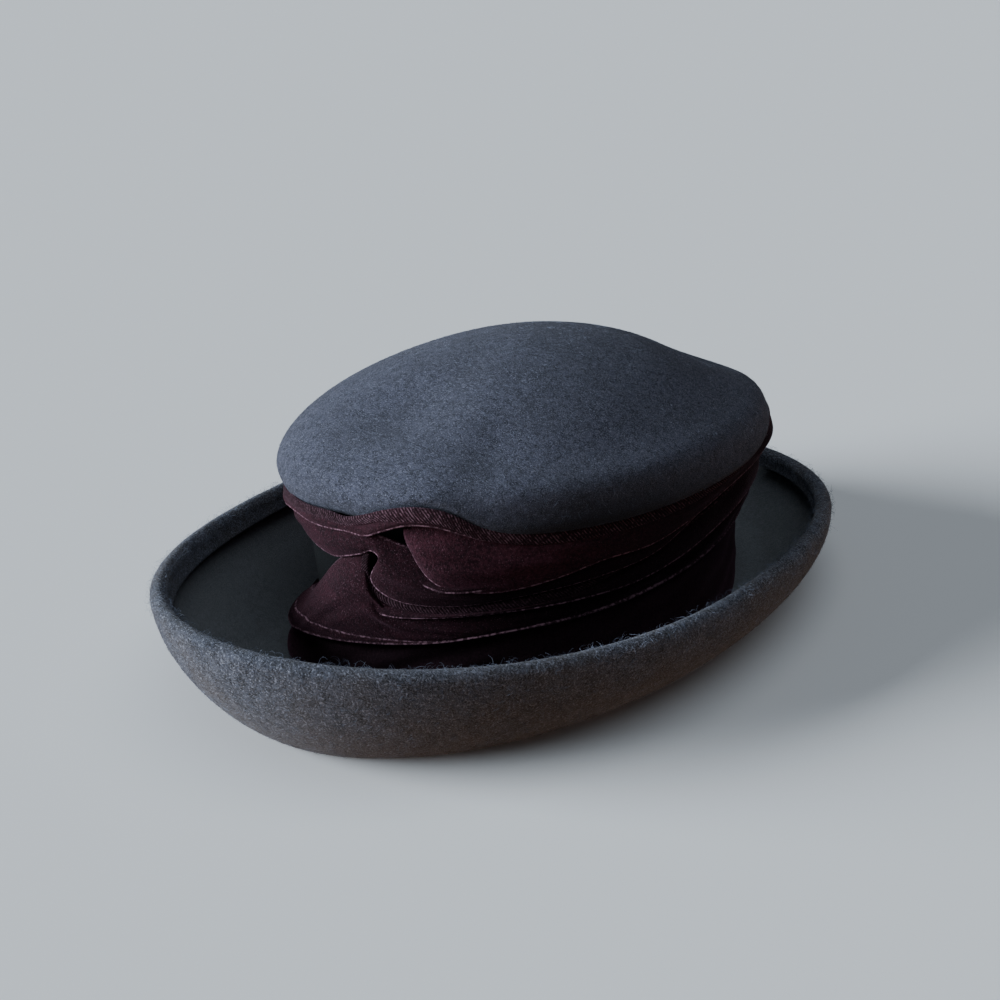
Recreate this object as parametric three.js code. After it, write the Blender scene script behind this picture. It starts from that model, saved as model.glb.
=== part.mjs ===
// A wool felt hat: a low dome over an upright wall, a brim that turns up like a bowl,
// and a pleated velvet band with a twisted knot on the wearer's left.
// Millimetres, +Z up. The front is -Y and the wearer's left is +X.
// The origin lies on the surface that the hat rests on, under the middle of the brim.
import * as THREE from 'three'
import { mergeVertices } from 'three/addons/utils/BufferGeometryUtils.js'

// Cloth and gaps
const feltThickness = 2.5
const velvetThickness = 2
const pieceGap = 0.3

// Head opening, an oval, set back from the middle of the brim
const headWidth = 164
const headLength = 194
const headSetback = 15

// Crown
const hatHeight = 121
const edgeHeight = 78
const edgeTilt = 5
const sideOverhang = 13.5
const endOverhang = 5
const tuckDepth = 7
const domeRoundness = 1.7
const edgeFullness = 2.16

// Where the knot lifts the edge of the crown
const archAngle = -64
const archSpread = 16
const archRise = 11

// Brim, outside sizes and the height of the rim's top
const brimWidth = 249
const brimLength = 318
const rimFront = 57.5
const rimSide = 44
const rimBack = 30.5
const rimThickness = 7.2
const hemWidth = 12

// Flat ring that the hat rests on, measured outwards from the crown's wall
const sideLand = 5.5
const frontLand = 45
const backLand = 19
const bowlSpread = 1.3
const bowlLift = 0.8

// Velvet band and knot. The shares are of the pleat depth, for the slim pleats above and
// for the flat strip at the foot.
const pleatDepth = 8
const slimPleat = 0.8
const flatPleat = 0.3
const pleatRoundness = 0.7
const lobeSwell = 3.5

// Number of facets
const stepsAround = 44
const stepsUpDome = 9
const stepsUpBowl = 7
const stepsRoundRim = 4
const stepsAcrossPleat = 5
const stepsAlongKnot = 9

// Soft dents in the dome. at: degrees from +X. level: share of the way up the dome.
// wide: degrees. tall and depth: shares of the dome's rise.
const dents = [
  { at: -50, level: 0.62, wide: 24, tall: 0.3, depth: 0.1 },
  { at: 70, level: 0.45, wide: 12, tall: 0.25, depth: 0.12 }
]

// Lines between the pleats, as shares of the band's height, and how far the pleats stand
// out, as shares of the pleat depth. at: degrees from +X.
const pleatLines = [
  { at: -170, upper: 0.8, middle: 0.62, lower: 0.36, out: 0.55 },
  { at: -120, upper: 0.88, middle: 0.78, lower: 0.3, out: 0.5 },
  { at: -95, upper: 0.9, middle: 0.8, lower: 0.25, out: 0.6 },
  { at: -78, upper: 0.92, middle: 0.8, lower: 0.34, out: 0.75 },
  { at: -62, upper: 0.8, middle: 0.56, lower: 0.37, out: 0.8 },
  { at: -48, upper: 0.72, middle: 0.57, lower: 0.45, out: 0.8 },
  { at: -30, upper: 0.8, middle: 0.62, lower: 0.48, out: 0.8 },
  { at: 0, upper: 0.86, middle: 0.72, lower: 0.5, out: 0.85 },
  { at: 35, upper: 0.84, middle: 0.72, lower: 0.48, out: 0.9 },
  { at: 100, upper: 0.78, middle: 0.6, lower: 0.42, out: 0.75 }
]

// The two knot pieces, from their near end to their far end. at: degrees from +X.
// low and high: shares of the band's height. out: share of the swell.
const lobeRows = [
  { at: -71, low: 0.86, high: 0.93, out: 0.25 },
  { at: -66, low: 0.7, high: 0.94, out: 0.7 },
  { at: -58, low: 0.64, high: 0.92, out: 1 },
  { at: -48, low: 0.7, high: 0.89, out: 0.6 },
  { at: -38, low: 0.78, high: 0.86, out: 0.1 }
]
const foldRows = [
  { at: -80, low: 0.7, high: 0.84, out: 0.3 },
  { at: -74, low: 0.56, high: 0.82, out: 0.7 },
  { at: -68, low: 0.52, high: 0.66, out: 0.8 },
  { at: -58, low: 0.5, high: 0.6, out: 0.5 },
  { at: -46, low: 0.58, high: 0.66, out: 0.1 }
]

// Sizes that follow from those above
const wallHalfWidth = headWidth / 2 + feltThickness
const wallHalfLength = headLength / 2 + feltThickness
const crownFoot = feltThickness + pieceGap
const flatFront = headSetback - wallHalfLength - frontLand
const flatBack = headSetback + wallHalfLength + backLand
const rimRadius = rimThickness / 2

const radians = THREE.MathUtils.degToRad
const blend = THREE.MathUtils.lerp

function rounded(value, fullness) {
  return Math.sign(value) * Math.abs(value) ** (2 / fullness)
}

// A point of an oval seen from above.
function oval(angle, halfWidth, halfLength, middle = 0, fullness = 2) {
  const x = halfWidth * rounded(Math.cos(angle), fullness)
  const y = halfLength * rounded(Math.sin(angle), fullness)
  return new THREE.Vector2(x, middle + y)
}

// A bell curve of an angle round the hat, 1 at its middle.
function bell(angle, middle, spread) {
  const turn = THREE.MathUtils.euclideanModulo(angle - radians(middle) + Math.PI, 2 * Math.PI)
  return Math.exp(-(((turn - Math.PI) / radians(spread)) ** 2))
}

// A table's column at an angle, read smoothly between its rows.
function between(rows, column, angle) {
  const at = THREE.MathUtils.radToDeg(angle)
  const next = rows.findIndex((row) => row.at > at)
  const after = rows[Math.max(next, 0)]
  const before = rows.at(next < 0 ? -1 : next - 1)
  const span = THREE.MathUtils.euclideanModulo(after.at - before.at, 360)
  const gone = THREE.MathUtils.euclideanModulo(at - before.at, 360)
  const share = THREE.MathUtils.smoothstep(gone / span, 0, 1)
  return blend(before[column], after[column], share)
}

// Angles once round the hat, from -180 degrees.
function anglesAround() {
  return Array.from({ length: stepsAround }, (_, step) => -Math.PI + (step * 2 * Math.PI) / stepsAround)
}

// Shares from 0 to 1 in equal steps.
function shares(steps) {
  return Array.from({ length: steps + 1 }, (_, step) => step / steps)
}

// Two triangles for the four corners of a face.
function quad(a, b, c, d) {
  return [[a, b, c], [a, c, d]]
}

// A closed skin through sections that all have the same number of points. Each section is a
// closed outline that runs up the outside and back down the inside.
function skin(sections, closed) {
  const size = sections[0].length
  const faces = []
  const last = sections.length - 1
  sections.forEach((_, step) => {
    if (step === last && !closed) {
      return
    }
    const here = step * size
    const next = (step === last ? 0 : step + 1) * size
    for (let k = 0; k < size; k += 1) {
      const up = (k + 1) % size
      faces.push(...quad(here + k, next + k, next + up, here + up))
    }
  })
  if (!closed) {
    const end = last * size
    for (let k = 0; k < size / 2 - 1; k += 1) {
      const back = size - 1 - k
      faces.push(...quad(k, k + 1, back - 1, back))
      faces.push(...quad(end + back, end + back - 1, end + k + 1, end + k))
    }
  }
  const points = sections.flat().flatMap((point) => point.toArray())
  const loose = new THREE.BufferGeometry()
  loose.setAttribute('position', new THREE.Float32BufferAttribute(points, 3))
  loose.setIndex(faces.flat())
  return withoutSlivers(mergeVertices(loose))
}

// Drops the triangles that shrank to nothing where points were joined.
function withoutSlivers(geometry) {
  const old = geometry.index.array
  const kept = []
  for (let k = 0; k < old.length; k += 3) {
    const face = [old[k], old[k + 1], old[k + 2]]
    if (new Set(face).size === 3) {
      kept.push(...face)
    }
  }
  geometry.setIndex(kept)
  geometry.computeVertexNormals()
  return geometry
}

// Height of the crown's widest line.
function edgeAt(angle) {
  return edgeHeight - edgeTilt * Math.sin(angle) + archRise * bell(angle, archAngle, archSpread)
}

// How much of the dome's rise the dents take away.
function dentAt(angle, level) {
  return dents.reduce((sum, dent) => {
    const up = Math.exp(-(((level - dent.level) / dent.tall) ** 2))
    return sum + dent.depth * up * bell(angle, dent.at, dent.wide)
  }, 0)
}

// A point on the crown's wall, or out from it.
function wallPoint(angle, out, height) {
  const flat = oval(angle, wallHalfWidth + out, wallHalfLength + out, headSetback)
  return new THREE.Vector3(flat.x, flat.y, height)
}

// The crown's outline at one angle, from its foot to its top. inset is 0 for the outside
// and the felt's thickness for the inside.
function crownOutline(angle, inset) {
  const edge = edgeAt(angle)
  const top = hatHeight - inset
  const depth = tuckDepth - inset
  const wall = oval(angle, wallHalfWidth - inset, wallHalfLength - inset, headSetback)
  const wide = oval(
    angle,
    wallHalfWidth + sideOverhang - inset,
    wallHalfLength + endOverhang - inset,
    headSetback,
    edgeFullness
  )
  const points = [new THREE.Vector3(wall.x, wall.y, crownFoot)]
  for (const share of shares(3)) {
    const turn = (share * Math.PI) / 2
    const flat = wall.clone().lerp(wide, Math.sin(turn))
    points.push(new THREE.Vector3(flat.x, flat.y, edge - depth * Math.cos(turn)))
  }
  const middle = new THREE.Vector2(0, headSetback)
  for (const share of shares(stepsUpDome).slice(1)) {
    const turn = (share * Math.PI) / 2
    const level = share === 1 ? 1 : Math.sin(turn) ** (2 / domeRoundness)
    const reach = share === 1 ? 0 : Math.cos(turn) ** (2 / domeRoundness)
    const flat = middle.clone().lerp(wide, reach)
    const rise = (top - edge) * level - (hatHeight - edgeHeight) * dentAt(angle, level) * reach
    points.push(new THREE.Vector3(flat.x, flat.y, edge + rise))
  }
  return points
}

function makeCrown() {
  const sections = anglesAround().map((angle) => {
    const outside = crownOutline(angle, 0)
    const inside = crownOutline(angle, feltThickness)
    return [...outside, ...inside.reverse()]
  })
  return skin(sections, true)
}

// Height of the middle of the rolled rim.
function rimAt(angle) {
  const end = Math.sin(angle) < 0 ? rimFront : rimBack
  return blend(rimSide, end, Math.sin(angle) ** 2) - rimRadius
}

// The brim's outline at one angle, from the head opening out under the bowl, up over the
// rim, down the hem and back along the inside.
function brimOutline(angle) {
  const opening = oval(angle, headWidth / 2, headLength / 2, headSetback)
  const middle = (flatFront + flatBack) / 2
  const flat = oval(angle, wallHalfWidth + sideLand, (flatBack - flatFront) / 2, middle)
  const rim = oval(angle, brimWidth / 2, brimLength / 2)
  const reach = rim.distanceTo(flat)
  const rise = rimAt(angle)
  const outwards = rim.clone().sub(flat).normalize()
  const place = (spot) => {
    const across = flat.clone().addScaledVector(outwards, spot.x)
    return new THREE.Vector3(across.x, across.y, spot.y)
  }
  const bowl = (share, inset) => {
    const turn = (share * Math.PI) / 2
    const out = reach * Math.sin(turn) ** bowlSpread
    const height = rise * (1 - Math.cos(turn)) ** bowlLift
    const lean = Math.atan2(height * out, reach * rise * (1 - share) + height * out)
    return new THREE.Vector2(out - inset * Math.sin(lean), height + inset * Math.cos(lean))
  }
  const overRim = (share) => {
    const turn = share * Math.PI
    const out = reach - rimRadius + rimRadius * Math.cos(turn)
    return new THREE.Vector2(out, rise + rimRadius * Math.sin(turn))
  }
  const hemShare = Math.acos(1 - (1 - hemWidth / rise) ** (1 / bowlLift)) / (Math.PI / 2)
  const under = shares(stepsUpBowl).map((share) => bowl(share, 0))
  const over = shares(stepsRoundRim).slice(1).map(overRim)
  const hemFoot = bowl(hemShare, rimThickness)
  const inside = shares(stepsUpBowl - 1).map((share) => bowl((1 - share) * hemShare, feltThickness))
  const section = [...under, ...over, hemFoot, ...inside].map(place)
  const openingFoot = new THREE.Vector3(opening.x, opening.y, 0)
  const openingTop = new THREE.Vector3(opening.x, opening.y, feltThickness)
  return [openingFoot, ...section, openingTop]
}

function makeBrim() {
  return skin(anglesAround().map(brimOutline), true)
}

// A height on the band, from 0 at its foot to 1 under the crown's edge.
function bandHeight(angle, share) {
  return blend(crownFoot, edgeAt(angle) - tuckDepth - pieceGap, share)
}

// How far the pleats stand out at an angle.
function pleatSwell(angle) {
  return pleatDepth * between(pleatLines, 'out', angle)
}

// A strip of velvet at one angle, bowed out between its two edges. inset is the gap behind it.
function stripOutline(angle, low, high, inset, swell) {
  const side = (share, back) => {
    const bow = swell * Math.abs(Math.sin(share * Math.PI)) ** pleatRoundness
    return wallPoint(angle, inset + back + bow, blend(low, high, share))
  }
  const steps = shares(stepsAcrossPleat)
  const outside = steps.map((share) => side(share, velvetThickness))
  const inside = steps.map((share) => side(share, 0))
  return [...outside, ...inside.reverse()]
}

// One pleat round the crown between two lines of the table. A missing line is the foot or
// the top of the band.
function makePleat(lowLine, highLine, swellShare) {
  const sections = anglesAround().map((angle) => {
    const low = lowLine ? between(pleatLines, lowLine, angle) : 0
    const high = highLine ? between(pleatLines, highLine, angle) : 1
    const lowest = bandHeight(angle, low) + (lowLine ? pieceGap : 0)
    return stripOutline(angle, lowest, bandHeight(angle, high), pieceGap, swellShare * pleatSwell(angle))
  })
  return skin(sections, true)
}

// A piece of the knot, which lies over a pleat that swells by a share of the pleat depth.
function makeKnotPiece(rows, swellShare) {
  const first = radians(rows[0].at)
  const last = radians(rows.at(-1).at)
  const sections = shares(stepsAlongKnot).map((share) => {
    const angle = blend(first, last, share)
    const low = bandHeight(angle, between(rows, 'low', angle))
    const high = bandHeight(angle, between(rows, 'high', angle))
    const inset = pieceGap + velvetThickness + swellShare * pleatSwell(angle) + pieceGap
    return stripOutline(angle, low, high, inset, lobeSwell * between(rows, 'out', angle))
  })
  return skin(sections, false)
}

function felt(color) {
  return new THREE.MeshStandardMaterial({ color, roughness: 0.95, metalness: 0 })
}

function velvet(color) {
  return new THREE.MeshStandardMaterial({ color, roughness: 0.8, metalness: 0 })
}

function part(name, geometry, material) {
  const mesh = new THREE.Mesh(geometry, material)
  mesh.name = name
  return mesh
}

const hat = new THREE.Group()
hat.add(
  part('crown', makeCrown(), felt(0x3a414c)),
  part('brim', makeBrim(), felt(0x47474b)),
  part('band_upper', makePleat('upper', null, slimPleat), velvet(0x3c1e26)),
  part('band_middle', makePleat('middle', 'upper', slimPleat), velvet(0x3c1e26)),
  part('band_lower', makePleat('lower', 'middle', 1), velvet(0x3c1e26)),
  part('band_base', makePleat(null, 'lower', flatPleat), velvet(0x2c161c)),
  part('knot_lobe', makeKnotPiece(lobeRows, slimPleat), velvet(0x432029)),
  part('knot_fold', makeKnotPiece(foldRows, 1), velvet(0x432029))
)

export default hat
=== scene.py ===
# %% [markdown]
# # A wool felt hat with a velvet band
# The hat has a low soft dome, a brim that turns up all round like a bowl, and a band of
# gathered velvet that is twisted into a knot on the wearer's left.
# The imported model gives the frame: its pieces, their places and their sizes in metres.
# Each soft solid of that frame is replaced here by a finer piece in the same place.

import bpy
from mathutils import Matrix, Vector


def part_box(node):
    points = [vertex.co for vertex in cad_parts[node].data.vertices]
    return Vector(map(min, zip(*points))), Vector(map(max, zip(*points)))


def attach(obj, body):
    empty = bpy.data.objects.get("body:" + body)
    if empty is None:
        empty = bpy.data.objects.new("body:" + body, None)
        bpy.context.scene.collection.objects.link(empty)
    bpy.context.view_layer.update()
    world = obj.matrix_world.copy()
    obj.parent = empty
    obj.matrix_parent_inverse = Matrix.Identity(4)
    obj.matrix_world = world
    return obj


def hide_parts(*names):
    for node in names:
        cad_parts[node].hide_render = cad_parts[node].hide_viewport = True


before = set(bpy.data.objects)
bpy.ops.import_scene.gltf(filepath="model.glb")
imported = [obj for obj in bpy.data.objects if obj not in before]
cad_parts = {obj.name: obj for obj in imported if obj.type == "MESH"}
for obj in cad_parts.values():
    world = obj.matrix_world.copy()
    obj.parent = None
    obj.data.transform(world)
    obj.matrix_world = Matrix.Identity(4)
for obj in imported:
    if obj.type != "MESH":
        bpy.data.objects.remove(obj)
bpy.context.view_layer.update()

# %% Other imports
import math

import bpy
import numpy as np
from mathutils import Matrix, Vector

MM = 0.001

# %% [markdown]
# ## Camera
# The camera looks down on the hat from its front left, as a person does who stands at a
# table. It is turned a little about its own line of sight, because the photograph is.

# %% Camera
camera_azimuth = math.radians(47.3)
camera_elevation = math.radians(23.0)
camera_roll = math.radians(-5.6)
camera_distance = 641 * MM
camera_target = Vector((-1.2, -1.3, 53.6)) * MM
camera_lens_mm = 54.2


def camera_axes(azimuth, elevation, roll):
    back = Vector((
        math.sin(azimuth) * math.cos(elevation),
        -math.cos(azimuth) * math.cos(elevation),
        math.sin(elevation),
    ))
    right = Vector((math.cos(azimuth), math.sin(azimuth), 0))
    up = back.cross(right)
    turned_right = right * math.cos(roll) + up * math.sin(roll)
    turned_up = up * math.cos(roll) - right * math.sin(roll)
    return turned_right, turned_up, back


bpy.ops.object.select_all(action="DESELECT")
bpy.ops.object.camera_add()
camera = bpy.context.object
camera.data.lens = camera_lens_mm
axes = camera_axes(camera_azimuth, camera_elevation, camera_roll)
place = Matrix(axes).transposed().to_4x4()
place.translation = camera_target + axes[2] * camera_distance
camera.matrix_world = place
bpy.context.scene.camera = camera
print("camera at", [round(v, 3) for v in place.translation])

# %% [markdown]
# ## Floor and light
# Felt and velvet show their form by soft shade, so the main light is a wide low one from the
# left, as from a window, and a weak one comes from above. Sun lamps with a wide angle are
# used, because they light the whole floor alike. A warm light from below stands for what a
# table sends back, so the floor itself sends none: diffuse rays don't meet it.

# %% Floor
bpy.ops.mesh.primitive_plane_add(size=60)
floor = bpy.context.object
floor.name = "floor"
floor.visible_diffuse = False

# %% Lights
def add_lamp(name, azimuth, elevation, spread, strength, color):
    bpy.ops.object.light_add(type="SUN")
    lamp = bpy.context.object
    lamp.name = name
    lamp.data.angle = math.radians(spread)
    lamp.data.energy = strength
    lamp.data.color = color
    right, up, back = camera_axes(math.radians(azimuth), math.radians(elevation), 0)
    turn = Matrix((right, up, back)).transposed().to_4x4()
    turn.translation = back * 2
    lamp.matrix_world = turn
    return lamp


add_lamp("window", azimuth=-43, elevation=17, spread=36, strength=7.5, color=(0.82, 0.91, 1))
add_lamp("ceiling", azimuth=90, elevation=70, spread=60, strength=0.95, color=(0.82, 0.91, 1))

# %% Light from all round
world = bpy.data.worlds.new("room")
world.use_nodes = True
world_nodes = world.node_tree.nodes
world_links = world.node_tree.links
direction = world_nodes.new("ShaderNodeTexCoord")
upwards = world_nodes.new("ShaderNodeSeparateXYZ")
from_below = world_nodes.new("ShaderNodeMapRange")
blend = world_nodes.new("ShaderNodeMix")
blend.data_type = "RGBA"
world_links.new(direction.outputs["Generated"], upwards.inputs[0])
world_links.new(upwards.outputs["Z"], from_below.inputs["Value"])
from_below.inputs["From Min"].default_value = -0.15
from_below.inputs["From Max"].default_value = 0.1
blend.inputs[6].default_value = (0.42, 0.27, 0.18, 1)
blend.inputs[7].default_value = (0.05, 0.057, 0.066, 1)
world_links.new(from_below.outputs[0], blend.inputs[0])
world_links.new(blend.outputs[2], world_nodes["Background"].inputs["Color"])
bpy.context.scene.world = world

# %% [markdown]
# ## Shader maths
# A material is a small calculation. This class wraps a socket, so that a sum of patterns is
# written as a sum, and one method adds any other node.

# %% Sockets as numbers
class Socket:
    def __init__(self, shader, link):
        self.shader = shader
        self.link = link

    def __add__(self, other):
        return self.shader.math("ADD", self, other)

    def __sub__(self, other):
        return self.shader.math("SUBTRACT", self, other)

    def __rsub__(self, other):
        return self.shader.math("SUBTRACT", other, self)

    def __mul__(self, other):
        return self.shader.math("MULTIPLY", self, other)


class Shader:
    def __init__(self, name):
        self.material = bpy.data.materials.new(name)
        self.material.use_nodes = True
        self.nodes = self.material.node_tree.nodes
        self.links = self.material.node_tree.links
        self.surface = self.nodes["Principled BSDF"]

    def set(self, socket, value):
        if isinstance(value, Socket):
            self.links.new(value.link, socket)
        elif value is not None:
            socket.default_value = value

    def add(self, kind, settings, values, output=0):
        node = self.nodes.new(kind)
        for key, value in settings.items():
            setattr(node, key, value)
        pairs = values.items() if isinstance(values, dict) else enumerate(values)
        for key, value in pairs:
            self.set(node.inputs[key], value)
        return Socket(self, node.outputs[output])

    def math(self, operation, *values):
        return self.add("ShaderNodeMath", {"operation": operation}, values)

    def mix(self, share, first, second):
        settings = {"data_type": "RGBA"}
        values = {0: share, 6: first, 7: second}
        return self.add("ShaderNodeMix", settings, values, output=2)

    def range(self, value, low, high, to_low=0.0, to_high=1.0):
        values = {0: value, 1: low, 2: high, 3: to_low, 4: to_high}
        return self.add("ShaderNodeMapRange", {"interpolation_type": "SMOOTHSTEP"}, values)

    def place(self):
        return self.add("ShaderNodeTexCoord", {}, {}, output="Object")

    def measure(self, name):
        return self.add("ShaderNodeAttribute", {"attribute_name": name}, {}, output="Fac")

    def stretched(self, vector, scale, turn=(0, 0, 0)):
        values = {"Vector": vector, "Scale": scale, "Rotation": turn}
        return self.add("ShaderNodeMapping", {}, values)

    def noise(self, vector, scale, detail=2.0, output=0):
        values = {"Vector": vector, "Scale": scale, "Detail": detail}
        return self.add("ShaderNodeTexNoise", {}, values, output)

    def finish(self, bump=None, bump_height=0.0, **sockets):
        for name, value in sockets.items():
            self.set(self.surface.inputs[name.replace("_", " ")], value)
        if bump is not None:
            values = {"Height": bump, "Distance": bump_height, "Strength": 1.0}
            self.set(self.surface.inputs["Normal"], self.add("ShaderNodeBump", {}, values))
        return self.material


def linear(value):
    return ((value / 255 + 0.055) / 1.055) ** 2.4 if value > 10 else value / 255 / 12.92


def rgb(red, green, blue):
    """A colour as a screen shows it, 0 to 255, turned into the linear one that a node takes."""
    return (linear(red), linear(green), linear(blue), 1)


# %% [markdown]
# ## Wool felt
# Felt is not woven: short fibres lie matted in all directions, and pale ones show among the
# dark. Thin streaks in three directions make the matted fibres, a fine grain makes the gaps
# between them, and a slow noise makes the lighter and darker patches. A light sheen stands
# for the fuzz that catches the light. Where a piece keeps a measure of painted shade, its felt
# is darker there: that is painted shade, since the lights alone don't make the felt dark enough.

# %% Felt
def felt(name, dark, light, fleck, patch, size, fleck_share, sheen, painted_shade=0.0):
    shader = Shader(name)
    place = shader.place()
    wander = shader.noise(place, 500 / size, detail=1, output=1)
    bending = {0: 0.001 * size, 4: place, 5: wander}
    bent = shader.add("ShaderNodeMix", {"data_type": "VECTOR"}, bending, output=1)
    streaks = None
    for turn in ((0.3, 0.9, 0.2), (1.4, 0.2, 1.1), (0.7, 2.2, 2.4)):
        thin = shader.stretched(bent, (330 / size, 3600 / size, 3600 / size), turn)
        strand = shader.range(shader.noise(thin, 1.0, detail=1), 0.56, 0.76)
        streaks = strand if streaks is None else streaks + strand
    grain = shader.noise(place, 1500 / size, detail=3)
    mottle = shader.noise(place, 340 / size, detail=3)
    cloud = shader.noise(place, 42, detail=3)
    matted = shader.range(grain, 0.38, 0.62) * 0.6 + shader.range(mottle, 0.38, 0.62) * 0.4
    body = shader.mix(matted, dark, light)
    body = shader.mix(shader.range(cloud, 0.35, 0.7) * 0.5, body, patch)
    speckle = shader.range(shader.noise(place, 1700 / size, detail=0), 1 - fleck_share, 1.06 - fleck_share)
    pale = shader.mix(shader.math("MAXIMUM", streaks * 0.4, speckle * 0.4), body, fleck)
    # Painted shade: where that measure is high, the felt turns to its dark colour.
    if painted_shade > 0:
        pale = shader.mix(shader.measure("painted_shade") * painted_shade, pale, dark)
    relief = grain * 0.6 + streaks * 0.4
    return shader.finish(
        bump=relief,
        bump_height=0.0006 * size,
        Base_Color=pale,
        Roughness=0.95,
        Specular_IOR_Level=0.12,
        Sheen_Weight=sheen,
        Sheen_Roughness=0.5,
    )


crown_felt = felt(
    "crown_felt",
    dark=rgb(28, 30, 38),
    light=rgb(83, 85, 101),
    fleck=rgb(156, 159, 178),
    patch=rgb(49, 50, 59),
    size=0.85,
    fleck_share=0.34,
    sheen=0.05,
    painted_shade=0.85,
)
# Painted shade: a nearly black copy of the felt, for the crown's inside, its wall and the underside of its
# edge.
shaded_wall_felt = felt(
    "crown_wall_felt_painted_shade",
    dark=rgb(8, 9, 10),
    light=rgb(14, 16, 18),
    fleck=rgb(24, 26, 29),
    patch=rgb(10, 11, 13),
    size=1.0,
    fleck_share=0.25,
    sheen=0.0,
)
brim_felt = felt(
    "brim_felt",
    dark=rgb(29, 31, 36),
    light=rgb(85, 89, 102),
    fleck=rgb(172, 176, 192),
    patch=rgb(72, 65, 61),
    size=1.35,
    fleck_share=0.35,
    sheen=0.12,
)
# The brim's inside: a smoother felt, and a much paler copy than the outside, as painted light.
painted_light_lining_felt = felt(
    "brim_inside_felt_painted_light",
    dark=rgb(96, 99, 103),
    light=rgb(119, 122, 126),
    fleck=rgb(144, 147, 151),
    patch=rgb(107, 110, 113),
    size=0.9,
    fleck_share=0.24,
    sheen=0.1,
)

# %% [markdown]
# ## Shapes round the head
# Everything here goes round the head, so a place on the hat is an angle, how far it stands
# out from the crown's wall, and a height. The angle is 0 at the wearer's left and 90 at the
# back. Sizes that the frame's pieces show are measured from them.

# %% Sizes from the frame
felt_thickness = 2.5 * MM

crown_low, crown_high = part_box("crown")
brim_low, brim_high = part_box("brim")

lean_top = 58 * MM
lean_depth = 7 * MM
side_overhang = 13.5 * MM
end_overhang = 5 * MM
crown_half_width = (crown_high.x - crown_low.x) / 2
crown_half_length = (crown_high.y - crown_low.y) / 2
wall_half_width = crown_half_width - side_overhang
wall_half_length = crown_half_length - end_overhang
setback = (crown_high.y + crown_low.y) / 2
hat_height = crown_high.z
foot = crown_low.z
print("crown wall", round(wall_half_width, 4), round(wall_half_length, 4), "setback", round(setback, 4))


# %% Helpers for places on the hat
def rounded(value, fullness):
    return np.sign(value) * np.abs(value) ** (2 / fullness)


def oval(angle, half_width, half_length, middle=0.0, fullness=2.0):
    x = half_width * rounded(np.cos(angle), fullness)
    y = half_length * rounded(np.sin(angle), fullness) + middle
    return x, y


def bell(angle, middle, spread):
    turn = (angle - math.radians(middle) + math.pi) % (2 * math.pi) - math.pi
    return np.exp(-((turn / math.radians(spread)) ** 2))


def lean_at(angle, height):
    """How far the wall leans in towards its foot, at the wearer's left behind the ear."""
    low = np.clip((lean_top - np.asarray(height)) / lean_top * 2, 0, 1)
    return lean_depth * bell(angle, 42, 35) * low**2 * (3 - 2 * low)


def on_wall(angle, out, height):
    out = out - lean_at(angle, height)
    x, y = oval(angle, wall_half_width + out, wall_half_length + out, setback)
    return np.stack(np.broadcast_arrays(x, y, height), axis=-1)


# %% [markdown]
# ## From a flat grid to a form
# A hat is blocked from a flat cone of felt. The same is done here: a flat grid is added, and
# each of its rows is moved to its place on the form. A closed piece starts and ends in a
# pole or comes back to its first column, and there its points are merged.

# %% Grid to form
def wrap(name, points, materials, rows_of_material=None, measures=()):
    rows, columns = points.shape[:2]
    bpy.ops.object.select_all(action="DESELECT")
    bpy.ops.mesh.primitive_grid_add(x_subdivisions=columns - 1, y_subdivisions=rows - 1, size=1)
    piece = bpy.context.object
    piece.name = name
    mesh = piece.data
    mesh.vertices.foreach_set("co", points.reshape(-1).astype(np.float32))
    for material in materials:
        mesh.materials.append(material)
    if rows_of_material is not None:
        slots = np.repeat(np.asarray(rows_of_material), columns - 1)
        mesh.polygons.foreach_set("material_index", slots.astype(np.int32))
    for key, values in dict(measures).items():
        attribute = mesh.attributes.new(name=key, type="FLOAT", domain="POINT")
        attribute.data.foreach_set("value", np.asarray(values, dtype=np.float32).reshape(-1))
    mesh.update()
    bpy.ops.object.mode_set(mode="EDIT")
    bpy.ops.mesh.select_all(action="SELECT")
    bpy.ops.mesh.remove_doubles(threshold=1e-6)
    bpy.ops.mesh.normals_make_consistent(inside=False)
    bpy.ops.object.mode_set(mode="OBJECT")
    bpy.ops.object.shade_smooth()
    return piece


def report(piece):
    print(piece.name, len(piece.data.polygons), "faces")


# %% [markdown]
# ## Crown
# The crown is one shell of felt, 2.5 mm thick: an upright wall, a soft edge that hangs over
# it, and a low dome. The edge is lower at the back, the knot pushes it up into an arch, and
# it rises a little over the ribs in front and more at the left of the back. A soft ridge
# with a hollow above it runs round the wearer's left, and dents keep the dome from looking
# like a turned bowl. A measure of painted shade darkens the felt below the ridge. The inside,
# the wall and the underside of the edge have a nearly black copy of the felt: painted shade.

# %% Crown sizes
edge_height = 78 * MM
edge_tilt = 5 * MM
tuck_depth = 7 * MM
tuck_low = 2.5 * MM
tuck_high = 2.5 * MM
dome_roundness = 1.7
edge_fullness = 2.16
arch_angle = -64
arch_spread = 16
arch_spread_right = 10.5
arch_rise = 11 * MM
back_rise = 8 * MM
back_fade = 9.0
front_rise = 2.8 * MM
columns_around = 300

arch_fade = 3.0
pole_ease = 0.25
ridge_start = (-62, 16)
ridge_stop = (110, 50)
ridge_outwards = 0.7
ridge_level = 0.25
ridge_spread = 0.15
ridge_swell = 3.2 * MM
hollow_level = 0.6
hollow_spread = 0.2
hollow_depth = 1.2 * MM
painted_shade_level = 0.34
painted_shade_side = (-24, 36)

steps_wall = 8
steps_tuck = 12
steps_dome = 56
shaded_tuck_rows = 4
painted_shade_tuck_rows = 8

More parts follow.
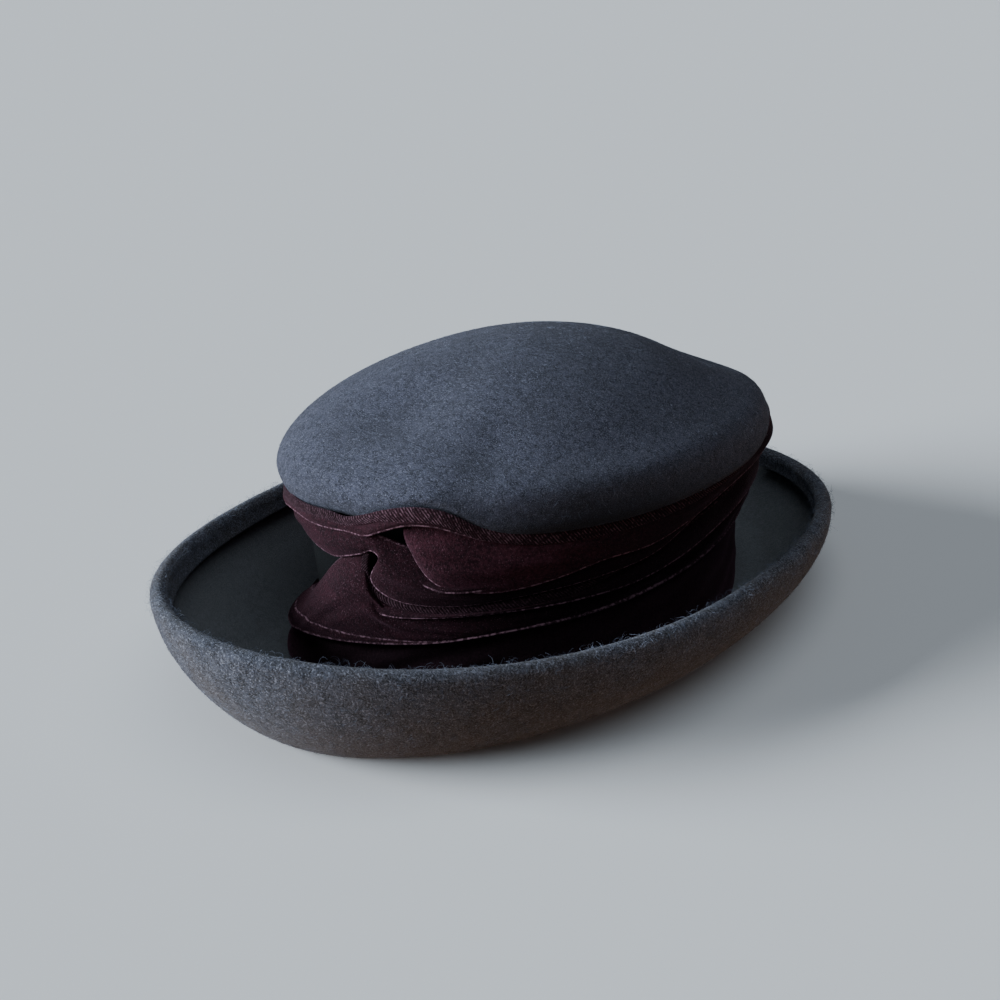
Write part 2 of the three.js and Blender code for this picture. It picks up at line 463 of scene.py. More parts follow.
dents = [
    {"at": -88, "level": 0.76, "wide": 22, "tall": 0.2, "depth": 0.16},
    {"at": -90, "level": 0.2, "wide": 24, "tall": 0.14, "depth": -0.05},
    {"at": -56, "level": 0.56, "wide": 12, "tall": 0.13, "depth": 0.05},
    {"at": -22, "level": 0.64, "wide": 16, "tall": 0.12, "depth": -0.02},
    {"at": 70, "level": 0.5, "wide": 14, "tall": 0.22, "depth": 0.09},
    {"at": 150, "level": 0.45, "wide": 25, "tall": 0.25, "depth": 0.04},
]


# %% Crown form
def arch_at(angle):
    turn = (angle - math.radians(arch_angle) + math.pi) % (2 * math.pi) - math.pi
    spread = np.where(turn < 0, arch_spread, arch_spread_right)
    return arch_rise * np.exp(-((turn / np.radians(spread)) ** 2))


def edge_at(angle):
    return edge_height - edge_tilt * np.sin(angle)


def tuck_at(angle):
    return tuck_depth + tuck_low * bell(angle, -108, 15) - tuck_high * bell(angle, 25, 35)


def dent_at(angle, level):
    return sum(
        dent["depth"]
        * np.exp(-(((level - dent["level"]) / dent["tall"]) ** 2))
        * bell(angle, dent["at"], dent["wide"])
        for dent in dents
    )


def ridge_at(angle, level):
    turn = (angle + math.pi) % (2 * math.pi) - math.pi
    start = np.clip((turn - math.radians(ridge_start[0])) / math.radians(ridge_start[1]), 0, 1)
    stop = np.clip((math.radians(ridge_stop[0]) - turn) / math.radians(ridge_stop[1]), 0, 1)
    along_edge = start**2 * (3 - 2 * start) * stop**2 * (3 - 2 * stop)
    swell = np.exp(-(((level - ridge_level) / ridge_spread) ** 2))
    hollow = np.exp(-(((level - hollow_level) / hollow_spread) ** 2))
    return along_edge * (ridge_swell * swell - hollow_depth * hollow)


def dome_level(reach):
    """How high the dome stands where it has drawn in to this reach: 0 at its edge, 1 at its top."""
    eased = (reach**2 + pole_ease**2) ** (dome_roundness / 2) - pole_ease**dome_roundness
    full = (1 + pole_ease**2) ** (dome_roundness / 2) - pole_ease**dome_roundness
    return max(1 - eased / full, 0.0) ** (1 / dome_roundness)


def crown_rows(angle, inset):
    arch = arch_at(angle)
    back = back_rise * bell(angle, 55, 25) + front_rise * bell(angle, -90.5, 8.5)
    edge = edge_at(angle)
    rise = hat_height - edge_height
    wall_x, wall_y = oval(angle, wall_half_width - inset, wall_half_length - inset, setback)
    wide_x, wide_y = oval(
        angle, crown_half_width - inset, crown_half_length - inset, setback, edge_fullness
    )
    rows = []
    depth = tuck_at(angle) - inset
    tuck_foot = edge + arch + back - depth
    for share in np.linspace(0, 1, steps_wall, endpoint=False):
        height = foot + (tuck_foot - foot) * share
        leaned = on_wall(angle, -inset, height)
        rows.append((leaned[:, 0], leaned[:, 1], height))
    for turn in np.linspace(0, math.pi / 2, steps_tuck, endpoint=False):
        out = math.sin(turn)
        height = edge + arch + back - depth * math.cos(turn)
        rows.append((wall_x + (wide_x - wall_x) * out, wall_y + (wide_y - wall_y) * out, height))
    for turn in np.linspace(0, math.pi / 2, steps_dome):
        reach = max(math.cos(turn), 0.0) ** (2 / dome_roundness)
        reach = reach if reach > 1e-6 else 0.0
        level = dome_level(reach)
        height = edge + (hat_height - inset - edge) * level + arch * (1 - level) ** arch_fade
        height = height + back * (1 - level) ** back_fade
        height = height - rise * dent_at(angle, level) * reach
        ridge = ridge_outwards * ridge_at(angle, level)
        out = reach + ridge / crown_half_width
        rows.append((wide_x * out, setback + (wide_y - setback) * out, height + ridge))
    return [np.stack(np.broadcast_arrays(*row), axis=-1) for row in rows]


angles = np.linspace(-math.pi, math.pi, columns_around + 1)
outside = crown_rows(angles, 0.0)
inside = crown_rows(angles, felt_thickness)
# The nearly black copy with painted shade takes the inside, the wall and the lowest rows of the tuck.
wall_faces = len(inside) + steps_wall + shaded_tuck_rows
slots = [1] * wall_faces + [0] * (len(inside) + len(outside) - 1 - wall_faces)
dome_turns = np.linspace(0, math.pi / 2, steps_dome)
levels = [dome_level(max(math.cos(turn), 0.0) ** (2 / dome_roundness)) for turn in dome_turns]
# The measure of painted shade: strongest at the dome's lower edge at the wearer's left, towards the front,
# and kept over the upper rows of the tuck below it.
painted_shade = np.zeros((len(inside) + len(outside), len(angles)))
painted_shade[-steps_dome:] = [np.clip(1 - level / painted_shade_level, 0, 1) * bell(angles, *painted_shade_side) for level in levels]
painted_shade[-steps_dome - painted_shade_tuck_rows : -steps_dome] = painted_shade[-steps_dome]
crown_points = np.array(inside[::-1] + outside)
crown = wrap("crown_felt", crown_points, [crown_felt, shaded_wall_felt], slots, {"painted_shade": painted_shade})
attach(crown, "root")
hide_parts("crown")
report(crown)

# %% [markdown]
# ## Brim
# The brim is flat where the hat rests, then turns up into a bowl. Its edge is rolled in and
# ends in a narrow hem on the inside. The felt is coarser outside and smoother inside, so the
# inside has a material of its own. That copy is also much paler than the outside: painted
# light, where the lamps leave the inside too dark.

# %% Brim sizes
rim_front = 57.5 * MM
rim_side = 44 * MM
rim_back = 30.5 * MM
rim_radius = 3.6 * MM
hem_width = 7 * MM
hem_wide = 2.2 * MM
hem_step = 1.0 * MM
groove = 1.2 * MM
side_land = 5.5 * MM
front_land = 45 * MM
back_land = 19 * MM
bowl_spread = 1.3
bowl_lift = 0.8

share_step = 0.004
groove_share = 0.022
groove_end_share = 0.034
hem_slots = 10


# %% Brim form
def rim_at(angle):
    end = np.where(np.sin(angle) < 0, rim_front, rim_back)
    return rim_side + (end - rim_side) * np.sin(angle) ** 2 - rim_radius


class BrimForm:
    def __init__(self, angle):
        front = setback - wall_half_length - front_land
        back = setback + wall_half_length + back_land
        flat = oval(angle, wall_half_width + side_land, (back - front) / 2, (front + back) / 2)
        rim = oval(angle, brim_high.x, brim_high.y)
        self.opening = on_wall(angle, -felt_thickness, 0.0)
        self.flat = np.stack(flat, axis=-1)
        across = np.stack(rim, axis=-1) - self.flat
        self.reach = np.linalg.norm(across, axis=-1)
        self.outwards = across / self.reach[:, None]
        self.rise = rim_at(angle)

    def bowl(self, share):
        turn = share * math.pi / 2
        out = self.reach * np.sin(turn) ** bowl_spread
        return out, self.rise * (1 - np.cos(turn)) ** bowl_lift

    def place(self, out, height):
        flat = self.flat + self.outwards * np.asarray(out)[..., None]
        return np.stack([flat[:, 0], flat[:, 1], np.broadcast_to(height, flat[:, 0].shape)], axis=-1)

    def felt(self, share, thickness):
        out, height = self.bowl(share)
        further_out, higher = self.bowl(np.minimum(share + share_step, 1.0))
        less_out, lower = self.bowl(np.maximum(share - share_step, 0.0))
        lean = np.arctan2(higher - lower, further_out - less_out)
        lean = np.where(share <= 0, 0.0, lean)
        return self.place(out - thickness * np.sin(lean), height + thickness * np.cos(lean))


form = BrimForm(angles)
hem_here = hem_width + hem_wide * bell(angles, -130, 50)
hem_share = np.arccos(1 - (1 - hem_here / form.rise) ** (1 / bowl_lift)) / (math.pi / 2)
opening_x, opening_y = form.opening[:, 0], form.opening[:, 1]


def land_row(share, height):
    x = opening_x + (form.flat[:, 0] - opening_x) * share
    y = opening_y + (form.flat[:, 1] - opening_y) * share
    return np.stack([x, y, np.full_like(x, height)], axis=-1)


rows = [land_row(share, 0.0) for share in np.linspace(0, 1, 10, endpoint=False)]
rows += [form.felt(np.full_like(angles, share), 0.0) for share in np.linspace(0, 1, 40, endpoint=False)]
for turn in np.linspace(0, math.pi, 14):
    out = form.reach - rim_radius + rim_radius * math.cos(turn)
    rows.append(form.place(out, form.rise + rim_radius * math.sin(turn)))
outer_rows = len(rows)
for share in np.linspace(0, 1, 10)[1:]:
    rows.append(form.felt(1 + (hem_share - 1) * share, 2 * rim_radius))
hem_edge = hem_share - share_step
rows.append(form.felt(hem_edge, 2 * rim_radius - hem_step))
rows.append(form.felt(hem_edge, 2 * rim_radius - 2 * hem_step))
rows.append(form.felt(hem_share, felt_thickness - groove))
rows.append(form.felt(hem_share - groove_share, felt_thickness - groove))
rows.append(form.felt(hem_share - groove_end_share, felt_thickness))
for share in np.linspace(0.97, 0, 30, endpoint=False)[1:]:
    rows.append(form.felt(hem_share * share, felt_thickness))
rows += [land_row(share, felt_thickness) for share in np.linspace(1, 0, 10)]


def soften(rows, first, last, times):
    for _ in range(times):
        eased = [(rows[row - 1] + 2 * rows[row] + rows[row + 1]) / 4 for row in range(first, last)]
        rows[first:last] = eased
    return rows


rows = soften(rows, 6, 24, 12)
land_start = len(rows) - 12
rows = soften(rows, land_start - 18, land_start + 6, 14)
rows.append(rows[0])
# Slot 1, the paler copy with painted light, covers the brim's inside.
slots = [0 if row < outer_rows + hem_slots else 1 for row in range(len(rows) - 1)]
brim = wrap("brim_felt", np.array(rows), [brim_felt, painted_light_lining_felt], slots)
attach(brim, "root")
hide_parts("brim")
report(brim)

# %% [markdown]
# ## Velvet
# Velvet is a cloth with a short upright pile. Seen along the pile it is almost black, and
# where it bends over a fold the pile opens and catches the light. So the colour is a dark
# wine red, the sheen stands for the pile, and each fold's edge has a thin pale line, broken
# into dots: a painted highlight. Pale specks are partly dust and partly a painted glint on
# the pile's tips. Lines and ribs follow measures kept in the mesh, in millimetres: from the
# upper edge, from the foot, from the hem and along the cloth. The ribs are colour and bump
# only. The velvet is nearly black away from the knot, and the lights alone don't make it so.
# There painted shade darkens the pile: over one stretch of the cloth it darkens by a share,
# and over a later stretch only a part of that is left. The upper fold at the lobe and the
# base strip have paler copies of the velvet: painted light.

# %% Velvet material
def velvet(name, dark, light, edge, sheen, lines, ribs=None, painted_shade_stretch=None):
    shader = Shader(name)
    place = shader.place()
    pile = shader.noise(place, 1500, detail=3)
    tufts = shader.range(shader.noise(place, 900, detail=2), 0.32, 0.68)
    brushed = shader.range(shader.noise(shader.stretched(place, (60, 60, 150)), 1.0, detail=4), 0.3, 0.75)
    # Pale specks: partly dust, partly a painted glint on the pile's tips.
    dust_and_glint = shader.range(shader.noise(place, 2300, detail=1), 0.6, 0.78)
    body = shader.mix(tufts * 0.6 + brushed * 0.4, dark, light)
    pale = dust_and_glint * 0.0
    # Painted highlight: a thin pale line along each fold edge and hem, broken into dots.
    for measure, at, width, strength in lines:
        away = shader.math("ABSOLUTE", shader.measure(measure) - at)
        pale = pale + shader.range(away, width, width * 0.2) * strength
    pale = pale * shader.range(shader.measure("along"), 1, 9)
    dots = shader.range(shader.noise(place, 760, detail=2), 0.44, 0.6)
    pale = pale * (dots * 0.86 + 0.14)
    if ribs is not None:
        turn = shader.measure("along") * (math.pi / ribs["pitch"])
        crest = shader.math("SINE", turn + shader.measure("across") * ribs["slant"])
        crest = shader.range(crest * crest, 0.25, 0.95)
        # Painted shade: the rib crests are darker over the first stretch of the cloth, at the front.
        crest_shading = shader.range(shader.measure("along"), *ribs["crest_shade_over"]) * 0.55 + 0.45
        pale = pale + crest * crest_shading * (dots * ribs["dots"] + ribs["even"])
        body = shader.mix((crest * 0.6 + 0.4) * crest_shading, dark, body)
        pile = pile * 0.6 + crest * 0.7
    # Painted shade along the cloth: the pile turns towards a near black colour over the given stretch.
    if painted_shade_stretch is not None:
        shade_share = shader.range(shader.measure("along"), *painted_shade_stretch["over"]) * painted_shade_stretch["by"]
        if "back" in painted_shade_stretch:
            shade_share = shade_share * shader.range(shader.measure("along"), *painted_shade_stretch["back"], 1.0, painted_shade_stretch["left"])
        body = shader.mix(shade_share, body, rgb(12, 6, 9))
        pale = pale * (1.0 - shade_share * 0.7)
        dust_and_glint = dust_and_glint * (1.0 - shade_share * 0.8)
    # Painted highlights, pale rib crests and specks are mixed towards the pale colour.
    pale_lines_and_specks = shader.math("MINIMUM", pale + dust_and_glint * 0.32, 1.0)
    return shader.finish(
        bump=pile,
        bump_height=0.0004,
        Base_Color=shader.mix(pale_lines_and_specks, body, edge),
        Roughness=0.9,
        Specular_IOR_Level=0.08,
        Sheen_Weight=sheen,
        Sheen_Roughness=0.4,
        Sheen_Tint=(0.6, 0.3, 0.43, 1),
    )


# The last pair in each is the stretch over which the rib crests come out of painted shade.
edge_ribs = {"pitch": 1.35, "slant": -19.0, "dots": 0.4, "even": 0.02, "crest_shade_over": (80, 160)}
slit_ribs = {"pitch": 1.35, "slant": -14.0, "dots": 0.16, "even": 0.0, "crest_shade_over": (-1, 0)}
fold_lines = (("from_foot", 1.35, 0.6, 1.0), ("from_top", 0.9, 0.6, 0.45))
leaf_lines = (("from_foot", 1.8, 0.75, 1.0), fold_lines[1], ("from_hem", 0.0, 0.55, 0.85))
dark_pile = rgb(23, 11, 16)
rib_pile = rgb(22, 11, 15)
shine = rgb(152, 116, 130)


# A stretch of painted shade along the cloth, and a later stretch where only a part of it is left.
def painted_shade_span(start, stop, share, back_start=380, back_stop=440, left=0.3):
    return {"over": (start, stop), "by": share, "back": (back_start, back_stop), "left": left}


leaf_velvet = velvet(
    "velvet_leaf", dark_pile, rgb(49, 23, 31), shine, 0.14, leaf_lines, painted_shade_stretch=painted_shade_span(145, 215, 0.85)
)
pleat_painted_shade = painted_shade_span(60, 115, 0.85, 260, 320)
pleat_velvet = velvet(
    "velvet_pleat", dark_pile, rgb(46, 22, 30), shine, 0.14, fold_lines, painted_shade_stretch=pleat_painted_shade
)
crease_velvet = velvet("velvet_crease", dark_pile, rgb(48, 23, 31), shine, 0.12, fold_lines[:1])
middle_velvet = velvet(
    "velvet_middle", dark_pile, rgb(52, 24, 33), shine, 0.11, fold_lines, painted_shade_stretch=painted_shade_span(120, 185, 0.8)
)
# The upper fold's copy is paler, as painted light at the lobe; beyond the lobe painted shade darkens it.
upper_painted_shade = painted_shade_span(45, 115, 0.82, 250, 310, 0.45)
upper_velvet = velvet(
    "velvet_upper", rgb(33, 17, 23), rgb(71, 38, 48), shine, 0.1, fold_lines, painted_shade_stretch=upper_painted_shade
)
edge_velvet = velvet(
    "velvet_ribbed", rib_pile, rgb(62, 34, 43), shine, 0.15, (), edge_ribs, painted_shade_span(165, 245, 0.7)
)
slit_painted_shade = {"over": (50, 110), "by": 0.5}
slit_velvet = velvet("velvet_slit", rib_pile, rgb(46, 24, 31), shine, 0.2, (), slit_ribs, slit_painted_shade)
foot_line = fold_lines[:1]
# The base strip's copy is much paler: painted light where the brim's rim shades its front end; further
# along painted shade darkens it.
lit_base_pile, base_shine = rgb(56, 33, 43), rgb(110, 84, 94)
base_painted_shade = {"over": (42, 82), "by": 0.85}
lit_and_shaded_base_velvet = velvet(
    "velvet_shade", lit_base_pile, rgb(92, 60, 72), base_shine, 0.12, foot_line, painted_shade_stretch=base_painted_shade
)

# %% [markdown]
# ## Ribbons of velvet
# The band is made as folds, and each fold is a flat tube of cloth that lies round the crown.
# A table gives its upper and lower edge at a few places, as an angle, a height and how far
# it stands out, and how far its face bulges between them. The rest is smooth interpolation,
# with rounded fold edges and soft wrinkles along the cloth. The function prints the length,
# mean width and area of each strip. A sheet's width is 10 mm at least, so for three narrower
# strips area= holds what was printed for the mesh.

# %% Smooth tables
def smooth_table(table, closed, samples):
    rows = np.array(table, dtype=float)
    count = len(rows)
    if closed:
        turn = np.zeros(rows.shape[1])
        turn[[0, 3]] = 360.0
        rows = np.vstack([rows[-1] - turn, rows, rows[0] + turn, rows[1] + turn])
        steps = count
    else:
        rows = np.vstack([2 * rows[0] - rows[1], rows, 2 * rows[-1] - rows[-2]])
        steps = count - 1
    at = np.linspace(0, steps, steps * 40 + 1)
    index = np.minimum(at.astype(int), steps - 1)
    share = (at - index)[:, None]
    before, start, end, after = rows[index], rows[index + 1], rows[index + 2], rows[index + 3]
    fine = 0.5 * (
        2 * start
        + (end - before) * share
        + (2 * before - 5 * start + 4 * end - after) * share**2
        + (3 * start - before - 3 * end + after) * share**3
    )
    middle = on_wall(
        np.radians((fine[:, 0] + fine[:, 3]) / 2),
        (fine[:, 2] + fine[:, 5]) / 2 * MM,
        (fine[:, 1] + fine[:, 4]) / 2 * MM,
    )
    lower = on_wall(np.radians(fine[:, 3]), fine[:, 5] * MM, fine[:, 4] * MM)
    length = sum(np.linalg.norm(np.diff(line, axis=0), axis=1) for line in (middle, lower))
    way = np.concatenate([[0], np.cumsum(length)])
    even = np.linspace(0, way[-1], samples)
    return np.stack([np.interp(even, way, column) for column in fine.T], axis=-1), even / 2 / MM


def wrinkles(along, across, seed, depth):
    pick = np.random.default_rng(seed)
    total = np.zeros(np.broadcast(along, across).shape)
    for _ in range(7):
        wave = 2 * math.pi / pick.uniform(30, 80)
        cross = 2 * math.pi / pick.uniform(7, 18) * pick.choice([-1, 1])
        total = total + np.sin(wave * along + cross * across + pick.uniform(0, 6.28))
    return total * depth / 7 * 1.6


# %% Flat tube of cloth
hem_groove = 0.55
hem_swell = 0.4


def ribbon(name, table, closed, columns, material, radius, wrinkle, seed=1, face_rows=26, hem=None):
    rows, along = smooth_table(table, closed, columns)
    top_angle, top_z, top_out, foot_angle, foot_z, foot_out, bow = rows.T
    mean_angle = np.radians((top_angle + foot_angle) / 2)
    reach = np.hypot(
        (wall_half_width / MM + 7) * np.sin(mean_angle), (wall_half_length / MM + 7) * np.cos(mean_angle)
    )
    arc = np.radians(foot_angle - top_angle) * reach
    width = np.hypot(arc, foot_z - top_z)
    half = np.minimum(radius, width * 0.42)
    hem_at = None if hem is None else np.interp((foot_angle + 150) % 360 - 150, *hem)
    edge_share = half / np.maximum(width, 1e-6)

    def at(share):
        share = edge_share + (1 - 2 * edge_share) * share
        return (
            np.radians(top_angle + (foot_angle - top_angle) * share),
            top_out + (foot_out - top_out) * share,
            top_z + (foot_z - top_z) * share,
        )

    def facing(angle):
        x, y = np.cos(angle) / wall_half_width, np.sin(angle) / wall_half_length
        across = np.stack([x, y, 0 * angle], axis=-1)
        return across / np.linalg.norm(across, axis=-1)[:, None]

    def middle(share):
        angle, out, height = at(share)
        return on_wall(angle, out * MM, height * MM), facing(angle)

    start, _ = middle(0.0)
    end, _ = middle(1.0)
    downwards = (end - start) / np.maximum(np.linalg.norm(end - start, axis=-1), 1e-9)[:, None]

    from_top = []
    from_foot = []
    face_width = width - 2 * half

    def cap(share, first, last, steps):
        centre, outwards = middle(share)
        turned = []
        for turn in np.linspace(first, last, steps, endpoint=False):
            ray = outwards * math.cos(turn) + downwards * math.sin(turn)
            turned.append(centre + ray * (half * MM)[:, None])
            from_top.append((turn + math.pi / 2) * half + share * face_width)
            from_foot.append((math.pi / 2 - turn) * half + (1 - share) * face_width)
        return turned

    loops = cap(0.0, -math.pi, 0, 8)
    for share in np.linspace(0, 1, face_rows, endpoint=False):
        centre, outwards = middle(share)
        stand = half + bow * math.sin(math.pi * share)
        fade = math.sin(math.pi * share) ** 0.5 if share > 0 else 0.0
        stand = stand + fade * wrinkles(along, width * share, seed, wrinkle)
        from_top.append(math.pi / 2 * half + share * face_width)
        from_foot.append(math.pi / 2 * half + (1 - share) * face_width)
        if hem is not None:
            away = from_foot[-1] - hem_at
            stand = stand - hem_groove * np.exp(-((away / 0.7) ** 2))
            stand = stand + hem_swell * np.exp(-(((away + 2.0) / 1.4) ** 2))
        loops.append(centre + outwards * (stand * MM)[:, None])
    loops += cap(1.0, 0, math.pi, 10)
    for share in np.linspace(1, 0, 5, endpoint=False):
        centre, outwards = middle(share)
        loops.append(centre - outwards * (half * MM)[:, None])
        from_top.append(np.full(columns, -5.0))
        from_foot.append(np.full(columns, -5.0))
    for lines in (loops, from_top, from_foot):
        lines.append(lines[0])
    measures = {
        "from_top": from_top,
        "from_foot": from_foot,
        "along": [along] * len(loops),
        "across": [np.full(columns, row / (face_rows + 18)) for row in range(len(loops))],
    }
    if hem is not None:
        measures["from_hem"] = np.array(from_foot) - hem_at
    piece = wrap(name, np.array(loops), [material], measures=measures)
    if not closed:
        close_ends(piece)
    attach(piece, "root")
    area = sum(polygon.area for polygon in piece.data.polygons) / 2
    print(name, "is", round(along[-1]), "mm long and", round(float(width.mean()), 1), "mm wide")
    print(name, "has an area of", round(area, 4), "square metres")
    report(piece)
    return piece


def close_ends(piece):
    bpy.ops.object.select_all(action="DESELECT")
    piece.select_set(True)
    bpy.context.view_layer.objects.active = piece
    bpy.ops.object.mode_set(mode="EDIT")
    bpy.ops.mesh.select_all(action="DESELECT")
    bpy.ops.mesh.select_mode(type="EDGE")
    bpy.ops.mesh.select_non_manifold()
    bpy.ops.mesh.fill_holes(sides=0)
    bpy.ops.mesh.select_all(action="SELECT")
    bpy.ops.mesh.normals_make_consistent(inside=False)
    bpy.ops.mesh.select_mode(type="VERT")
    bpy.ops.object.mode_set(mode="OBJECT")


# %% [markdown]
# ## Base and lower folds
# The lowest strip stands on the brim and flares at its foot. The lower fold lies over it: at
# the wearer's left it widens into the big leaf below the knot, with a hem along its foot.
# Each row is the angle, height and outness of the upper edge, then of the lower one, and
# the bulge between them, in degrees and millimetres.

# %% Base strip
base_rows = [
    (-150, 12, 2.2, -150, 4.2, 9.4, 1),
    (-135, 14.5, 3, -135, 4, 14.5, 1.6),
    (-122, 17, 3.6, -122, 3.6, 17, 2),
    (-108, 21, 3.6, -108, 3.6, 15.5, 2),
    (-94, 26, 3.6, -94, 3.8, 10.5, 1.4),
    (-75, 33, 2.2, -75, 4.2, 5.6, 0.8),
    (-45, 38, 1.8, -45, 4.2, 3, 0.6),
    (0, 46, 1.8, 0, 4.4, 2.6, 0.6),
    (45, 46, 1.8, 45, 4.4, 2.6, 0.8),
    (90, 38, 2.2, 90, 4.2, 4, 1),
    (140, 34, 2.4, 140, 4.2, 6, 1),
    (180, 29, 2.6, 180, 4.2, 6.4, 1),
    (194, 20, 2.4, 194, 4.2, 7.4, 1),
]
velvet_base = ribbon("velvet_base", base_rows, True, 420, lit_and_shaded_base_velvet, radius=1.1, wrinkle=1.0, seed=11)
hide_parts("band_base")

# %% Lower fold with the leaf
lower_rows = [
    (-150, 29, 0.8, -150, 9.5, 8, 1),
    (-142, 20.4, -0.8, -142, 11, 10.4, 1),
    (-136, 21, -0.6, -136, 13, 12.4, 1.2),
    (-130, 24.6, 0.6, -130, 14.2, 13.8, 1.4),
    (-124, 28.2, 1.8, -124, 15.2, 14.8, 1.6),
    (-115, 33, 2.2, -115, 17.8, 14.2, 1.8),
    (-108.8, 39, 2.4, -109, 20.6, 12.8, 2.2),
    (-101, 48, 2.8, -103, 23, 11.6, 2.8),
    (-94, 57, 3.6, -95, 25.6, 10, 3),
    (-88, 63.8, 4.6, -88, 27.4, 8.6, 3.2),
    (-83.4, 66.8, 5.2, -82, 29, 7.8, 2.8),
    (-80.6, 66.6, 5.2, -77, 30, 7.2, 2.4),
    (-80.6, 61, 5, -71.5, 31.2, 6.8, 1.8),
    (-79.8, 54.5, 4.8, -66, 32.4, 6.6, 1.4),
    (-75, 49.4, 4.6, -60, 33.7, 6.3, 1.2),
    (-64, 47.6, 4.2, -53, 35.2, 5.8, 1),
    (-48, 47, 3.6, -43, 36.6, 5.2, 0.8),
    (-28, 49, 3.2, -27, 37.4, 4.4, 0.6),
    (0, 54, 2.8, 0, 40, 3.8, 0.6),
    (30, 57, 2.8, 30, 42, 3.8, 0.8),
    (60, 56, 3, 60, 38, 4.6, 1.2),
    (90, 50, 3.4, 90, 30, 5.4, 1.6),
    (135, 46, 3.6, 135, 24, 6.4, 1.6),
    (180, 53, 3.8, 180, 20, 8, 1.8),
    (194, 49, 3.4, 194, 14, 7.6, 1.6),
    (202, 43, 2.8, 202, 11.5, 7.8, 1.4),
]
hem_angles = (-150, -124, -105, -92, -80, -68, -55, 60, 210)
hem_widths = (5.4, 8.6, 8.6, 6.2, 4.2, 3.0, 2.4, 2.6, 5.4)
velvet_lower = ribbon(
    "velvet_lower",
    lower_rows,
    True,
    560,
    leaf_velvet,
    radius=1.4,
    wrinkle=0.8,
    seed=12,
    face_rows=44,
    hem=(hem_angles, hem_widths),
)
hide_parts("band_lower")

# %% [markdown]
# ## Middle folds
# The middle fold comes from the front below the upper one, is pinched at the knot, and fans
# out again on the other side. Below it a narrow pleat starts out of the leaf's face.

# %% Pleat out of the leaf
pleat_rows = [
    (-86, 49.5, 6, -85, 48.6, 6.4, 0.1),
    (-82, 50, 6.2, -81.8, 48, 8, 0.4),
    (-79, 49.6, 5.8, -79.6, 46.2, 8.8, 0.8),
    (-75.6, 48.6, 5.6, -77.2, 44.4, 9, 1),
    (-71, 47.8, 5.6, -73, 43.6, 8.8, 1.2),
    (-64, 47.2, 5.4, -66, 44, 8.2, 1.2),
    (-52, 48, 5.2, -53.5, 45, 7.6, 1.2),
    (-42, 49, 5, -42, 45.4, 7.2, 1),
    (-30, 50.8, 4.8, -30, 45.6, 7, 1),
    (-17, 54.6, 4.6, -17, 46.2, 6.8, 1),
    (-6, 59, 4.6, -6, 49, 7.2, 1),
    (6, 62.4, 4.8, 6, 53, 7.4, 0.8),
    (20, 65, 5.2, 20, 56.4, 7.6, 0.8),
    (34, 65, 5.4, 34, 57.4, 7.6, 0.8),
    (50, 62, 5.2, 50, 56.6, 7.2, 0.8),
    (75, 60, 4.8, 75, 51, 6.6, 1.2),
    (100, 58, 4.6, 100, 45, 6.4, 1.6),
    (135, 60, 4.8, 135, 43, 7, 1.6),
    (170, 62, 4.8, 170, 44, 7, 1.6),
    (195, 64, 4.4, 195, 50, 6, 1.2),
    (214, 67, 3.6, 214, 60, 4.2, 0.8),
    (228, 70, 2.8, 228, 66, 3, 0.2),
]
velvet_pleat = ribbon(
    "velvet_pleat", pleat_rows, False, 420, pleat_velvet, radius=1.1, wrinkle=0.6, seed=13
)

# %% Middle fold through the knot
middle_rows = [
    (-150, 74, 5.4, -150, 60, 5, 1),
    (-136, 70, 4.4, -136, 58.6, 3, 1),
    (-124, 69.5, 4.4, -124, 58.6, 2.6, 1),
    (-113, 74, 4.8, -113, 62.4, 3, 1),
    (-104, 76.6, 5.2, -104, 62.6, 3.8, 1.2),
    (-97, 76.8, 5.8, -97, 62.6, 5, 1.4),
    (-90, 76.6, 6.8, -90, 63, 6.2, 1.6),
    (-84, 77.4, 7, -84.5, 65.4, 6.8, 1.6),
    (-80, 78, 7, -80.2, 67.8, 7.2, 1.4),
    (-76.8, 78, 6.8, -76.8, 70, 7.4, 1.2),
    (-73.4, 76.6, 6.2, -75.2, 67.4, 7.2, 1.6),
    (-69.5, 74.2, 5.6, -77.2, 62.8, 7.2, 2),
    (-64.6, 71.6, 5.2, -78.2, 58, 7.6, 2.2),
    (-59, 68.4, 5, -75.6, 53.4, 7.8, 2.2),
    (-52, 66, 5, -69.4, 50.2, 7.8, 2),
    (-42, 65.4, 5.2, -58, 49.6, 7.6, 1.6),
    (-32, 65, 5.4, -42, 51.8, 7.2, 1.2),
    (-22, 65.6, 5.6, -28, 53.4, 7.4, 1),
    (-10, 67.4, 5.8, -13, 56, 7.6, 0.8),
    (2, 70.6, 6, 0, 64, 7.9, 0.6),
    (16, 73, 6.2, 16, 68, 8, 0.5),
    (32, 72.4, 6.2, 32, 67, 8, 0.6),
    (50, 71, 5.8, 50, 64, 7.6, 0.8),
    (75, 66, 5.4, 75, 56, 7.2, 1.2),
    (100, 66, 5.2, 100, 54, 7, 1.6),
    (135, 69, 5.2, 135, 55, 7.4, 1.6),
    (180, 74, 5.4, 180, 58, 7.6, 1.6),
]
velvet_middle = ribbon(
    "velvet_middle", middle_rows, True, 520, middle_velvet, radius=1.2, wrinkle=0.6, seed=14
)
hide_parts("band_middle")

# %% [markdown]
# ## Knot and upper fold
# The upper fold starts as the rounded lobe at the knot, runs all round the hat, and ends
# over the lobe's own top, so the knot looks twisted. A second edge shows under the lobe.

